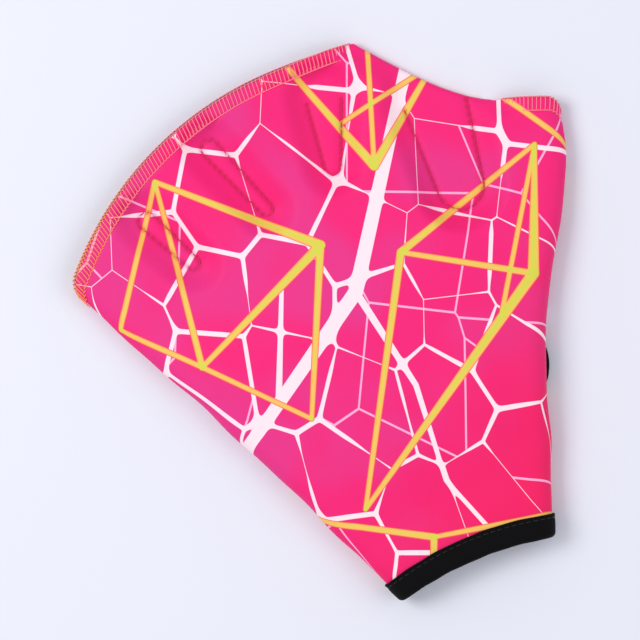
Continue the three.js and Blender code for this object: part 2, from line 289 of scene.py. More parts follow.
# %% The hollow and the panels' surface
SETTLING_ROUNDS = 4
CALM_CUFF = 12.0  # the binding holds the cloth still as far as this from the cuff
SIDE_WAVES = [(0.4, 8.7, 0.0), (0.25, 4.9, 1.2)]  # the side seams wander: (size, length / tau, start)

Columns = namedtuple("Columns", "side roll share")


def hollow(share, reach):
    x, y = in_plan(mix(*flat_turns(reach), share), reach)
    along = np.clip((reach - CUFF_CORNER) / (FULL_REACH - CUFF_CORNER), 0, 1)
    middle = 1 - (2 * np.clip(share, 0, 1) - 1) ** 2
    raised = ease(along / PALM_SHARE)
    hand = mix(CUFF_CAVITY, PALM_CAVITY, raised) + DOME_RISE * middle * raised
    opened = mix(hand, CHANNEL_CAVITY, ease((along - CHANNEL_SHARE) / CHANNEL_BLEND))
    from_edge = [from_line(x, y, start, end)[0] for start, end in zip(CLOSED_EDGE, CLOSED_EDGE[1:])]
    sewn = ease(np.min(from_edge, 0) / WEB_SLOPE)
    for web in WEBS:
        sewn = sewn * ease(web_distance(web, x, y)[0] / WEB_SLOPE)
    return mix(SEAM_GAP, opened, sewn)


def tape_lift(turn, reach):
    """The glove lies over its bindings, a tape's thickness higher."""
    x, y = in_plan(turn, reach)
    hx, hy = in_plan(side_turns(HOLE_REACH)[1] - HOLE_FROM_SIDE / HOLE_REACH, HOLE_REACH)
    past_cuff = reach - cuff_reach(turn) - CUFF_BINDING
    past_hole = np.hypot(x - hx, y - hy) - HOLE_LENGTH / 2 - HOLE_BINDING
    return (TAPE + TAPE_GAP) * (1 - ease(np.minimum(past_cuff, past_hole) / LIFT_SLOPE))


def by_part(side, little, middle, thumb):
    return np.where(side < 0, little, np.where(side > 0, thumb, middle))


def column_turn(columns, reach, outward):
    side, roll, share = columns
    little, thumb = side_turns(reach)
    inset = (SIDE_ROLL - (SIDE_ROLL - WALL / 2 + outward) * np.cos(roll)) / reach
    return by_part(side, little + inset, mix(*flat_turns(reach), share), thumb - inset)


def panel_ends(panel, columns):
    """Reaches at the cuff and the finger edge, and turns at that edge."""
    inset = np.where(columns.side == 0, SIDE_ROLL, SIDE_ROLL * (1 - np.cos(columns.roll)))
    missing = CORNER_RADIUS - np.minimum(inset, CORNER_RADIUS)
    top = np.full(inset.shape, FULL_REACH)
    bottom = np.full(inset.shape, CUFF_CORNER)
    for _ in range(SETTLING_ROUNDS):
        top = edge_reach(column_turn(columns, top, WALL / 2))
        bottom = cuff_reach(column_turn(columns, bottom, WALL / 2))
    top = top - CORNER_RADIUS + np.sqrt(CORNER_RADIUS**2 - missing**2)
    turn = column_turn(columns, top, WALL / 2)
    if panel == "back":
        top = top - PALM_PEEK * ease((INDEX_CORNER - turn) / INDEX_CORNER)
    return bottom, top, turn


def on_panel(panel, columns, reach, outward):
    """Points of a panel in millimetres."""
    side, roll, share = columns
    turn = column_turn(columns, reach, outward)
    x, y = in_plan(turn, reach)
    wobble = sum(size * np.sin(reach / length + start) for size, length, start in SIDE_WAVES)
    x = x + side * wobble * ease((reach - CUFF_CORNER - CALM_CUFF) / 20) * np.cos(roll)
    stack = 2 * WALL + hollow(by_part(side, 0.0, share, 1.0), reach)
    rise = stack / 2 - SEAM_GAP / 2 - WALL / 2
    up = 1.0 if panel == "back" else -1.0
    rolled = stack / 2 + up * (SEAM_GAP / 2 + (rise + outward) * np.sin(roll))
    flat = stack - WALL / 2 + outward if panel == "back" else WALL / 2 - outward
    z = np.where(side == 0, flat, rolled) + tape_lift(turn, reach)
    return np.stack(np.broadcast_arrays(x, y - FAN_BACK - ORIGIN_FROM_CUFF, z), -1)


print("hollow over the palm %.1f mm" % hollow(0.5, 200.0))

# %% [markdown]
# Sewing leaves marks. A stitched web sinks in a soft groove, the layers between its arms puff a little, and
# the overlock squeezes the finger edges. The back also gets long slack waves. All of this is a number of
# millimetres by which a face moves.

# %% Relief of the cloth
GROOVE, GROOVE_WIDTH = 0.85, 1.25
PUCKER, PUCKER_PITCH = 0.22, 3.2
BACK_PUFF, PUFF_WIDTH = 0.3, 2.6
SQUEEZE, SQUEEZE_INNER, SQUEEZE_REACH, SQUEEZE_FADE = 0.32, 0.3, 5.0, 1.6
NEEDLE, NEEDLE_WIDTH, NEEDLE_FROM_EDGE = 0.2, 0.75, 5.5
SLACK, RIPPLE, RIPPLE_REACH = 0.28, 0.22, 9.0
EDGE_BLEND = 0.012  # turn over which the marks of the overlock end at a corner
FAR = 99.0  # far from the edges, where they leave no mark

rng = np.random.default_rng(11)
WAVE_RANGES = [(28, 75), (0, math.tau), (0, math.tau), (0.35, 1.0)]  # length, heading, phase and size
WAVES = [[rng.uniform(*limits) for limits in WAVE_RANGES] for _ in range(14)]
WAVE_SUM = 3.2  # brings the waves' sum to about one


def slack(x, y):
    total = np.zeros(np.shape(x))
    for length, heading, phase, size in WAVES:
        total += size * np.sin(math.tau * (x * math.cos(heading) + y * math.sin(heading)) / length + phase)
    return total / WAVE_SUM


def laid(panel, columns, reach, outward, from_edge=FAR, from_cuff=FAR):
    """Points of a panel, with the back's waves and the ripples along its edge."""
    points = on_panel(panel, columns, reach, outward)
    if panel == "back":
        x, y = points[..., 0], points[..., 1]
        # Two ripples across the fingers, which start past the palm
        ripple = np.sin(x / 3.1 + 2 * np.sin(y / 17)) + 0.7 * np.sin(x / 5.3 + 1.3)
        ripple = RIPPLE * ripple * np.exp(-np.maximum(from_edge, 0) / RIPPLE_REACH) * ease((y - 30) / 20)
        held = np.where(columns.side == 0, 1, np.sin(columns.roll)) * ease((from_cuff - CALM_CUFF) / 30)
        points[..., 2] += held * (SLACK * slack(x, y) + ripple)
    return points


def relief(panel, turn, x, y, from_edge):
    """How far the outer and the inner face move, and the depth of the web stitches."""
    mark = puff = np.zeros(np.shape(x))
    for web in WEBS:
        distance, share = web_distance(web, x, y)
        pucker = 1 + PUCKER * np.sin(math.tau * share * np.hypot(*(web.base - web.tip)) / PUCKER_PITCH)
        reaches = 1.0 if web.closed else ease((share + 0.04) / 0.06)
        mark = np.maximum(mark, reaches * pucker * bell(distance, GROOVE_WIDTH))
        puff = np.maximum(puff, 1 - bell(np.minimum(distance, 0), PUFF_WIDTH))
    open_edge = ease(np.maximum(INDEX_CORNER - turn, turn - THUMB_CORNER) / EDGE_BLEND + 0.5)
    squeeze = open_edge * (1 - ease((from_edge - SQUEEZE_REACH) / SQUEEZE_FADE))
    needle = open_edge * bell(from_edge - NEEDLE_FROM_EDGE, NEEDLE_WIDTH)
    puffed = BACK_PUFF * puff if panel == "back" else 0
    return puffed - GROOVE * mark - SQUEEZE * squeeze - NEEDLE * needle, SQUEEZE_INNER * squeeze, mark


# %% [markdown]
# A panel is one closed skin. Rows run over its outer face from the cuff to the finger edge, round the rim,
# and back along its inner face. A cut and overlocked edge has a half round rim. Where the panels are sewn,
# each rounds over to meet the other.

# %% Panel meshes
EDGE_ZONE = 9.0  # the rows are closer together in this last stretch before the rim
RIM_BLEND = 0.02  # turn over which the rim changes at a corner
ROLL_STEPS = 14
RIM_STEPS = 7
ROLLED_OUT = 0.85  # length of a rolled side laid flat, as a share of SIDE_ROLL for each radian
LIP, LIP_WIDTH = 0.7, 0.9  # the cloth dips into the side seams


def seam_columns(roll_steps, flat_steps):
    """Columns from the little finger's side seam to the thumb's."""
    roll, ones = steps(roll_steps, QUARTER), np.ones(roll_steps)
    flat = np.linspace(0, 1, flat_steps + 1)
    angle = np.r_[roll, 0 * flat + QUARTER, roll[::-1]]
    return Columns(np.r_[-ones, 0 * flat, ones], angle, np.r_[0 * ones, flat, ones])


def skin_rows(bottom, top, turned, long_rows, edge_rows):
    """The skin's rows as (reach, outward)."""
    radius = mix(WALL / 2 - SQUEEZE, WALL, turned)
    start = top - radius
    reaches = [mix(bottom, start - EDGE_ZONE, s) for s in steps(long_rows)]
    reaches += [start - EDGE_ZONE * (1 - s) for s in steps(edge_rows)]
    outer = [(reach, np.full(top.shape, WALL / 2)) for reach in reaches]
    rim = []
    for k in np.linspace(0, 1, RIM_STEPS):
        bulge = mix(np.sin(math.pi * k), np.sin(QUARTER * k), turned)
        outward = WALL * mix(np.cos(math.pi * k) / 2, np.cos(QUARTER * k) - 0.5, turned)
        rim.append((start + radius * bulge, outward))
    inner = [(reach, -outward) for reach, outward in reversed(outer)]
    return outer + rim + inner


def skin_faces(rows, wide):
    """Faces of the skin. Its ends meet at the cuff, and a strip closes each side."""
    index = np.arange(rows * wide).reshape(rows, wide)
    ahead = np.roll(index, -1, 0)
    faces = [np.stack([index[:, :-1], index[:, 1:], ahead[:, 1:], ahead[:, :-1]], -1).reshape(-1, 4)]
    half = rows // 2
    for strip, turn_round in ((index[:, 0], True), (index[:, -1], False)):
        lower, upper = strip[:half], strip[::-1][:half]
        cap = np.stack([lower[:-1], lower[1:], upper[1:], upper[:-1]], -1)
        cap = np.concatenate([cap, [[lower[-1], strip[half], upper[-1], upper[-1]]]])
        faces.append(cap[:, ::-1] if turn_round else cap)
    return np.concatenate(faces)


def flat_pattern(columns, reach, points):
    """Places on the print, with the rolled sides laid flat."""
    side, roll, _ = columns
    start, stop = flat_turns(reach)
    edge_x = in_plan(np.where(side < 0, start, stop), reach)[0]
    x = np.where(side == 0, points[..., 0], edge_x + side * (QUARTER - roll) * SIDE_ROLL * ROLLED_OUT)
    return np.stack([x, points[..., 1]], -1)


def smooth_piece(name, points, faces, flat):
    """A smooth mesh from points in millimetres and their places on the print."""
    mesh = bpy.data.meshes.new(name)
    polygons = [tuple(dict.fromkeys(face)) for face in faces.tolist()]
    mesh.from_pydata((points.reshape(-1, 3) / 1000).tolist(), [], polygons)
    mesh.shade_smooth()
    loops = np.zeros(len(mesh.loops), np.int32)
    mesh.loops.foreach_get("vertex_index", loops)
    flat = (flat.reshape(-1, 2) / 1000).astype(np.float32)
    mesh.uv_layers.new(name="print").data.foreach_set("uv", flat[loops].ravel())
    return add_object(name, mesh)


def panel_piece(name, panel, flat_steps, long_rows, edge_rows):
    columns = Columns(*(a[None, :] for a in seam_columns(ROLL_STEPS, flat_steps)))
    bottom, top, top_turn = panel_ends(panel, columns)
    past_index, past_thumb = (top_turn - INDEX_CORNER) / RIM_BLEND, (top_turn - THUMB_CORNER) / RIM_BLEND
    turned = ease(past_index + 0.3) * (1 - ease(past_thumb + 0.7))
    rows = skin_rows(bottom, top, turned, long_rows, edge_rows)
    reach, outward = (np.concatenate(part) for part in zip(*rows))

    turn = column_turn(columns, reach, outward)
    outside, inside, mark = relief(panel, turn, *in_plan(turn, reach), top - reach)
    from_seam = columns.roll * SIDE_ROLL * ROLLED_OUT
    lip = np.where(columns.side == 0, 0, LIP * bell(from_seam, LIP_WIDTH))
    outer_share = np.clip(outward / WALL + 0.5, 0, 1)
    outward = outward + mix(inside, outside - lip, outer_share)
    points = laid(panel, columns, reach, outward, top - reach, reach - bottom)

    faces = skin_faces(*reach.shape)
    if panel == "palm":
        faces = faces[:, ::-1]
    piece = smooth_piece(name, points, faces, flat_pattern(columns, reach, points))
    sewn_rim = (turned[0] > 0.02) * (RIM_STEPS - RIM_STEPS // 2)
    inner_from = long_rows + edge_rows + RIM_STEPS // 2 + sewn_rim
    row, column = np.divmod(faces[:, 0], reach.shape[1])
    piece.data.polygons.foreach_set("material_index", (row >= inner_from[column]).astype(np.int32))
    # The web stitches' depth is kept as a mask for the darker pink in their groove, partly pressed cloth
    # and partly painted shade.
    groove_shade_mask = piece.data.attributes.new("seam", "FLOAT", "POINT")
    groove_shade_mask.data.foreach_set("value", (mark * outer_share).astype(np.float32).ravel())
    print(name, len(faces), "faces, skin %.4f m2" % sum(p.area for p in piece.data.polygons))
    return piece


back_cloth = panel_piece("back_cloth", "back", flat_steps=224, long_rows=140, edge_rows=16)
palm_cloth = panel_piece("palm_cloth", "palm", flat_steps=200, long_rows=120, edge_rows=14)

# %% [markdown]
# The side hole sits where the palm panel starts to roll up to the seam, so its outer rim shows from above.
# A place near it is measured round the rolled side. A Boolean cuts it, whose cutter follows the same curved
# wall.

# %% Side hole
CUTTER_RINGS = (0.05, 0.35, 0.7, 1.0)  # shares of the hole's size
CUTTER_STEPS = 96


def by_side(from_side, reach, outward):
    from_side, reach, outward = np.broadcast_arrays(from_side, reach, outward)
    rise = (WALL + hollow(1.0, reach) - SEAM_GAP) / 2
    roll_length = QUARTER * np.sqrt(((SIDE_ROLL - WALL / 2) ** 2 + rise**2) / 2)
    on_roll = from_side < roll_length
    start, stop = flat_turns(reach)
    roll = np.where(on_roll, QUARTER * from_side / roll_length, QUARTER)
    share = np.where(on_roll, 1.0, 1 - (from_side - roll_length) / ((stop - start) * reach))
    return on_panel("palm", Columns(1.0 * on_roll, roll, share), reach, outward)


def round_hole(angle, grow, outward, scale=1.0):
    """Points round the hole's edge, or grown past it."""
    a, b = HOLE_WIDTH / 2 * scale, HOLE_LENGTH / 2 * scale
    normal = np.stack([np.cos(angle) / a, np.sin(angle) / b])
    normal = normal / np.hypot(*normal)
    from_side = HOLE_FROM_SIDE + a * np.cos(angle) + grow * normal[0]
    return by_side(from_side, HOLE_REACH + b * np.sin(angle) + grow * normal[1], outward)


def ring_piece(name, points, closed=True):
    """A ring of stations, each a closed section or else an open one."""
    stations, around = points.shape[:2]
    index = np.arange(stations * around).reshape(stations, around)
    ahead = np.roll(index, -1, 0)
    quads = np.stack([index, ahead, np.roll(ahead, -1, 1), np.roll(index, -1, 1)], -1)
    quads = (quads if closed else quads[:, :-1]).reshape(-1, 4)
    runs = []
    for axis in (0, 1):
        steps = np.linalg.norm(np.diff(points, axis=axis), axis=2).mean(1 - axis)
        runs.append(np.concatenate([[0], np.cumsum(steps)]))
    return smooth_piece(name, points, quads, np.stack(np.meshgrid(*runs, indexing="ij"), -1))


def face_out(piece):
    """Closes what is open, turns every face outwards, and prints the volume."""
    shape = bmesh.new()
    shape.from_mesh(piece.data)
    bmesh.ops.holes_fill(shape, edges=shape.edges)
    bmesh.ops.recalc_face_normals(shape, faces=shape.faces)
    if shape.calc_volume(signed=True) < 0:
        bmesh.ops.reverse_faces(shape, faces=shape.faces)
    open_edges = sum(not edge.is_manifold for edge in shape.edges)
    print(piece.name, "volume %.1f cm3," % (shape.calc_volume() * 1e6), open_edges, "open edges")
    shape.to_mesh(piece.data)
    shape.free()


def made_plain(piece):
    """The mesh that a piece's modifiers make."""
    bpy.context.view_layer.update()
    mesh = bpy.data.meshes.new_from_object(piece.evaluated_get(bpy.context.evaluated_depsgraph_get()))
    piece.modifiers.clear()
    return mesh


def cut_hole(piece):
    angles = steps(CUTTER_STEPS, math.tau)
    rings = [(WALL, size) for size in CUTTER_RINGS] + [(-WALL, size) for size in reversed(CUTTER_RINGS)]
    section = [round_hole(angles, 0.0, outward, size) for outward, size in rings]
    cutter = ring_piece("hole_cutter", np.stack(section, 1), closed=False)
    face_out(cutter)
    cut = piece.modifiers.new("hole", "BOOLEAN")
    cut.operation, cut.solver, cut.object = "DIFFERENCE", "EXACT", cutter
    piece.data = made_plain(piece)
    bpy.data.objects.remove(cutter)


face_out(back_cloth)
face_out(palm_cloth)
cut_hole(palm_cloth)
print("palm after the cut:", len(palm_cloth.data.polygons), "faces")

# %% [markdown]
# Both bindings are one strip of knit tape folded over the raw edge and stitched through. The section is a U
# with rounded lips, pressed in along its stitches. At the cuff it wanders by a few tenths of a millimetre.

# %% Folded tape
STITCH_INSET = 1.7
TAPE_REST = 0.08  # between the tape's inner face and the cloth
TAPE_PRESS, PRESS_WIDTH = 0.3, 0.7
TAPE_SWELL, SWELL_WIDTH = 0.04, 1.6
CUFF_WANDER = 0.3
HOLE_CUP = 0.3  # the tape stands up a little on the side seam
HOLE_STEPS = 120


def tape_face(radius, down, fold):
    """One face of a folded tape as (outward, inward): down a leaf, round the fold and up the other leaf."""
    flat = np.full(len(down), radius)
    return np.r_[flat, radius * np.cos(fold), -flat], np.r_[down, -radius * np.sin(fold), down[::-1]]


def tape_section(width):
    """Section of a folded tape as (outward, inward), how far out it reaches, and how long its leaf is."""
    near, far = WALL / 2 + TAPE_REST, WALL / 2 + TAPE_GAP + TAPE
    leaf = width - far
    lip = (far - near) / 2
    down, fold = np.linspace(leaf - lip, 0.3, 12), np.linspace(0.1, math.pi - 0.1, 11)
    outward, inward = tape_face(far, down, fold)
    stitched = leaf - STITCH_INSET
    press = TAPE_PRESS * bell(inward - stitched, PRESS_WIDTH)
    swell = TAPE_SWELL * bell(inward - stitched * 0.45, SWELL_WIDTH)
    outward = outward * (1 - (press - swell) / far)
    down, fold = np.array([leaf - lip, leaf / 2, 0.2]), np.linspace(0.3, math.pi - 0.3, 5)
    inner_out, inner_in = tape_face(near, down, fold)
    turn = np.linspace(0, math.pi, 5)[1:-1]
    lip_out, lip_in = lip * np.cos(turn), leaf - lip + lip * np.sin(turn)
    middle = (far + near) / 2
    outward = np.r_[outward, -middle - lip_out, -inner_out, middle - lip_out]
    return outward, np.r_[inward, lip_in, inner_in, lip_in], far, leaf


def on_cuff(inward, outward):
    """Points round the cuff, over the back and then under the palm."""
    columns = Columns(*(a[:, None] for a in cuff_columns))
    reach = cuff_ends[:, None] + inward
    back, palm = (on_panel(panel, columns, reach, outward) for panel in ("back", "palm"))
    return np.concatenate([back, palm[::-1]])


cuff_columns = seam_columns(roll_steps=12, flat_steps=90)
cuff_ends = panel_ends("palm", cuff_columns)[0]
cuff_out, cuff_in, tape_far, cuff_leaf = tape_section(CUFF_BINDING)
rng = np.random.default_rng(5)
cuff_angles = steps(len(cuff_ends), math.tau)
wave = 0
for k in range(2, 9):
    wave = wave + rng.uniform(-1, 1) * np.sin(k * cuff_angles + rng.uniform(0, math.tau)) / k**0.5
cuff_tape = ring_piece("cuff_tape", on_cuff(cuff_in + (CUFF_WANDER * wave / 2)[:, None], cuff_out))
face_out(cuff_tape)

hole_out, hole_in, _, hole_leaf = tape_section(HOLE_BINDING)
hole_angles = steps(HOLE_STEPS, math.tau)
hole_cup = 1 + HOLE_CUP * np.maximum(0, -np.cos(hole_angles)) ** 2
hole_points = [round_hole(hole_angles, i, o * hole_cup) for o, i in zip(hole_out, hole_in)]
hole_tape = ring_piece("hole_tape", np.stack(hole_points, 1))
face_out(hole_tape)

# %% [markdown]
# Stitches of one kind are all the same loop of thread, so each kind is modelled once by a node tree and set
# down on points, which carry the way it faces. The trees end by making the copies real, because a copy that
# is only an instance is lost in an export.


# %% Points that carry stitches
def unit(vectors):
    return vectors / np.linalg.norm(vectors, axis=1, keepdims=True)


def facing(along, up):
    """Turn that takes X along the seam and Z out of the cloth."""
    along = unit(along)
    up = unit(up - (up * along).sum(1, keepdims=True) * along)
    across = np.cross(up, along)
    return np.array([Matrix((a, b, c)).transposed().to_euler() for a, b, c in zip(along, across, up)])


def spaced(path, pitch):
    """Evenly spaced places on a line, as fractions of its numbering."""
    run = np.concatenate([[0], np.cumsum(np.linalg.norm(np.diff(path, axis=0), axis=1))])
    count = max(2, int(round(run[-1] / pitch)))
    return np.interp((np.arange(count) + 0.5) * run[-1] / count, run, np.arange(len(path)))


def pick(values, places):
    """Rows of an array at such fractions."""
    return np.stack([np.interp(places, np.arange(len(values)), column) for column in values.T], 1)


def stitch_points(name, rows):
    """Loose points from rows of (places, facing)."""
    places, turns = (np.concatenate(part) for part in zip(*rows))
    mesh = bpy.data.meshes.new(name)
    mesh.from_pydata((places / 1000).tolist(), [], [])
    facings = mesh.attributes.new("facing", "FLOAT_VECTOR", "POINT")
    facings.data.foreach_set("vector", turns.astype(np.float32).ravel())
    print(name, len(places), "stitches")
    return add_object(name, mesh)


# %% [markdown]
# The overlock runs along each cut edge of each panel: the finger edge as far as the index corner, and the
# thumb end. It goes down the rolled sides as well, to the side seams.

# %% Where the overlock runs
OVERLOCK_DEPTH = 5.6
OVERLOCK_PITCH = 1.75
CLOSED_MARGIN = 0.004  # the overlock stops this turn before the closed edge
FIRST_ROLL = 0.12  # how far round its rolled side the overlock starts
EDGE_ROLL_STEPS = 24
EDGE_STEPS = 400


def edge_columns(first, last, from_little):
    """Columns of an open edge, from its side seam inwards."""
    start, stop = flat_turns(edge_reach(first if from_little else last))
    shares = np.linspace(0, 1, EDGE_STEPS)
    turns = mix(start, stop, shares)
    shares = shares[(turns >= first) & (turns <= last)]
    ones = np.ones(EDGE_ROLL_STEPS)
    angle = np.r_[np.linspace(FIRST_ROLL, QUARTER, EDGE_ROLL_STEPS), 0 * shares + QUARTER]
    if from_little:
        return Columns(np.r_[-ones, 0 * shares], angle, np.r_[0 * ones, shares])
    return Columns(np.r_[ones, 0 * shares], angle, np.r_[ones, shares[::-1]])


def overlock_row(panel, *edge):
    columns = edge_columns(*edge)
    top = panel_ends(panel, columns)[1]
    probes = ((0, 0.0), (OVERLOCK_DEPTH, 0.0), (2.5, 1.0), (2.5, -1.0))
    rim, inside, outside, below = (laid(panel, columns, top - back, out, back) for back, out in probes)
    places = spaced(rim, OVERLOCK_PITCH)
    up = outside - below
    along = np.cross(rim - inside, up)
    return pick(rim, places), facing(pick(along, places), pick(up, places))


FINGER_EDGE = (-HALF_ANGLE, INDEX_CORNER - CLOSED_MARGIN, True)
THUMB_END = (THUMB_CORNER + CLOSED_MARGIN, HALF_ANGLE, False)
OPEN_EDGES = (FINGER_EDGE, THUMB_END)
overlock_rows = [overlock_row(panel, *edge) for panel in ("back", "palm") for edge in OPEN_EDGES]
overlock_points = stitch_points("overlock_points", overlock_rows)

# %% [markdown]
# The web stitches follow each web's outline on both faces of the glove: down one arm, round the base and up
# the other, and for the two narrow webs also round the tip.

# %% Where the web stitches run
WEB_PITCH = 3.3
WEB_MARGIN = 2.5  # no stitch lies closer to the glove's edge
THREAD_RISE = 0.1
LOOK_AHEAD = 0.6  # steps of the path, for the way it runs at a stitch


def web_path(web):
    tip, base, tip_half, base_half, closed = web
    axis = (base - tip) / np.hypot(*(base - tip))
    across = np.array([-axis[1], axis[0]])
    down = np.linspace(0.0, 1.0, 60)[:, None]
    arm, half = mix(tip, base, down), mix(tip_half, base_half, down)
    bend = np.linspace(0, math.pi, 40)[1:-1, None]
    arc = np.cos(bend) * across + np.sin(bend) * axis
    path = [arm + half * across, base + base_half * arc, (arm - half * across)[::-1]]
    if closed:
        path += [tip - tip_half * arc, path[0][:1]]
    return np.concatenate(path)


def on_web(panel, places):
    """Points of a panel's outer face, sunk in the stitches' groove."""
    x, y = places.T
    turn, reach = np.arctan2(x, y), np.hypot(x, y)
    start, stop = flat_turns(reach)
    columns = Columns(0 * x, 0 * x + QUARTER, (turn - start) / (stop - start))
    outside = relief(panel, turn, x, y, FAR)[0]
    return laid(panel, columns, reach, WALL / 2 + outside + THREAD_RISE)


def web_row(panel, web):
    path = web_path(web)
    places = spaced(path, WEB_PITCH)
    x, y = pick(path, places).T
    places = places[np.hypot(x, y) < edge_reach(np.arctan2(x, y)) - WEB_MARGIN]
    here = pick(path, places)
    after, before = np.minimum(places + LOOK_AHEAD, len(path) - 1), np.maximum(places - LOOK_AHEAD, 0)
    ahead = unit(pick(path, after) - pick(path, before))
    left = np.stack([-ahead[:, 1], ahead[:, 0]], 1)
    along = on_web(panel, here + ahead) - on_web(panel, here - ahead)
    over = on_web(panel, here + left) - on_web(panel, here - left)
    up = np.cross(along, over)
    return on_web(panel, here), facing(along, up if panel == "back" else -up)


web_points = stitch_points("web_points", [web_row(p, w) for p in ("back", "palm") for w in WEBS])

# %% [markdown]
# A line of black lockstitch holds each tape down, near the edge of the leaf that shows.

# %% Where the tape stitches run
TAPE_PITCH = 3.1
TAPE_SINK = 0.28


def tape_row(points, above):
    places = spaced(points, TAPE_PITCH)
    along = np.roll(points, -1, 0) - np.roll(points, 1, 0)
    return pick(points, places), facing(pick(along, places), pick(above - points, places))


levels = (tape_far - TAPE_SINK, tape_far + 1.0)
cuff_row = tape_row(*(on_cuff(np.array([cuff_leaf - STITCH_INSET]), level)[:, 0] for level in levels))
hole_row = tape_row(*(round_hole(hole_angles, hole_leaf - STITCH_INSET, level) for level in levels))
tape_points = stitch_points("tape_points", [cuff_row, hole_row])

# %% [markdown]
# Node trees are written here as plain sums. A wire is one output of a node, and sums of wires make Math
# nodes.


# %% Wires and nodes
def fill(tree, socket, source):
    """Links a socket to a wire or a list of wires, or gives it a value other than None."""
    if isinstance(source, list):
        for wire in source:
            fill(tree, socket, wire)
    elif isinstance(source, Wire):
        tree.links.new(source.socket, socket)
    elif source is not None:
        socket.default_value = source


def put(tree, kind, *sources, named=None, output=0, **settings):
    """Adds a node, fills its inputs in order or by name, and gives one output as a wire."""
    node = tree.nodes.new(kind)
    for key, value in settings.items():
        setattr(node, key, value)
    for socket, source in zip(node.inputs, sources):
        fill(tree, socket, source)
    for key, source in (named or {}).items():
        fill(tree, node.inputs[key], source)
    return Wire(tree, node.outputs[output])


class Wire:
    def __init__(self, tree, socket):
        self.tree, self.socket = tree, socket

    def beside(self, name):
        """Another output of the same node."""
        return Wire(self.tree, self.socket.node.outputs[name])

    def op(self, kind, *others):
        return put(self.tree, "ShaderNodeMath", self, *others, operation=kind)

    __add__ = partialmethod(op, "ADD")
    __sub__ = partialmethod(op, "SUBTRACT")
    __mul__ = partialmethod(op, "MULTIPLY")
    __truediv__ = partialmethod(op, "DIVIDE")

    def vector_op(self, kind, *others):
        output = "Value" if kind in ("DOT_PRODUCT", "LENGTH") else "Vector"
        return put(self.tree, "ShaderNodeVectorMath", self, *others, output=output, operation=kind)

    def parts(self):
        whole = put(self.tree, "ShaderNodeSeparateXYZ", self)
        return whole, whole.beside("Y"), whole.beside("Z")


def new_group(name, kind, inputs, outputs):
    """A node group. A socket is given as a name with a value, or with its type."""
    group = bpy.data.node_groups.new(name, kind + "NodeTree")
    for direction, sockets in (("INPUT", inputs), ("OUTPUT", outputs)):
        for label, value in sockets.items():
            typed = isinstance(value, str)
            socket_type = "NodeSocket" + (value if typed else "Float")
            socket = group.interface.new_socket(label, in_out=direction, socket_type=socket_type)
            if not typed:
                socket.default_value = value
    given = group.nodes.new("NodeGroupInput").outputs
    out = group.nodes.new("NodeGroupOutput").inputs
    return group, [Wire(group, given[label]) for label in inputs], out


def vector(tree, *numbers):
    return put(tree, "ShaderNodeCombineXYZ", *numbers)


# %% [markdown]
# The overlock stitch is a circle, squared off so that it hugs the edge of the cloth, with a straight stitch
# along the needle line and one along the rim. The lockstitch is a short bowed thread. Both are swept with a
# five-sided thread.


# %% Stitches as Geometry Nodes
def squared(value, power):
    return value.op("ABSOLUTE").op("POWER", power) * value.op("SIGN")


def straight(tree, start, end):
    ends = {"Start": vector(tree, *start), "End": vector(tree, *end)}
    return put(tree, "GeometryNodeCurvePrimitiveLine", named=ends)


def stitch_tree(name, sizes, curves):
    """Sweeps a thread along the curves of one stitch and sets a copy on each point."""
    inputs = {"Points": "Geometry", **sizes, "Thread": "Material"}
    tree, (points, *given, thread), output = new_group(name, "Geometry", inputs, {"Stitches": "Geometry"})
    joined = put(tree, "GeometryNodeJoinGeometry", curves(tree, *given))
    profile = put(tree, "GeometryNodeCurvePrimitiveCircle", named={"Resolution": 5, "Radius": given[-1]})
    sweep = {"Curve": joined, "Profile Curve": profile, "Fill Caps": True}
    smooth = put(tree, "GeometryNodeSetShadeSmooth", put(tree, "GeometryNodeCurveToMesh", named=sweep))
    kind = "GeometryNodeInputNamedAttribute"
    carried = put(tree, kind, named={"Name": "facing"}, output="Attribute", data_type="FLOAT_VECTOR")
    turn = put(tree, "FunctionNodeEulerToRotation", carried)
    copies = {"Points": points, "Instance": smooth, "Rotation": turn}
    placed = put(tree, "GeometryNodeInstanceOnPoints", named=copies)
    real = put(tree, "GeometryNodeRealizeInstances", placed)
    dyed = put(tree, "GeometryNodeSetMaterial", named={"Geometry": real, "Material": thread})
    fill(tree, output["Stitches"], dyed)
    return tree


def overlock_curves(tree, depth, wall, pitch, thickness):
    circle = put(tree, "GeometryNodeCurvePrimitiveCircle", named={"Resolution": 18, "Radius": 1.0})
    round_x, round_y, _ = put(tree, "GeometryNodeInputPosition").parts()
    past_rim = thickness * 1.6
    top = wall * 0.5 + thickness
    y = squared(round_x, 0.5) * ((depth + past_rim) * 0.5) + (past_rim - depth) * 0.5
    z = squared(round_y, 0.55) * top
    slanted = vector(tree, z * 0.22 + y * 0.1, y, z)
    loop = put(tree, "GeometryNodeSetPosition", circle, named={"Position": slanted})
    back, ahead, behind = depth * -1.0, pitch * 0.52, pitch * -0.52
    needle = straight(tree, (behind, back, top), (ahead, back, top))
    rim = straight(tree, (behind, past_rim, 0.0002), (ahead, past_rim, 0.0004))
    return [loop, needle, rim]


def lockstitch_curves(tree, length, bow, _radius):
    sink = bow * -1.6
    bends = {
        "Start": vector(tree, length * -0.5, 0.0, sink),
        "Middle": vector(tree, 0.0, 0.0, bow * 3.0),
        "End": vector(tree, length * 0.5, 0.0, sink),
    }
    return [put(tree, "GeometryNodeCurveQuadraticBezier", named={"Resolution": 6, **bends})]


OVERLOCK_SIZES = {"Depth": 0.0056, "Wall": 0.0019, "Pitch": 0.00175, "Radius": 0.00021}
LOCKSTITCH_SIZES = {"Length": 0.0026, "Bow": 0.00016, "Radius": 0.0002}
OVERLOCK = stitch_tree("overlock_stitch", OVERLOCK_SIZES, overlock_curves)
LOCKSTITCH = stitch_tree("lockstitch", LOCKSTITCH_SIZES, lockstitch_curves)


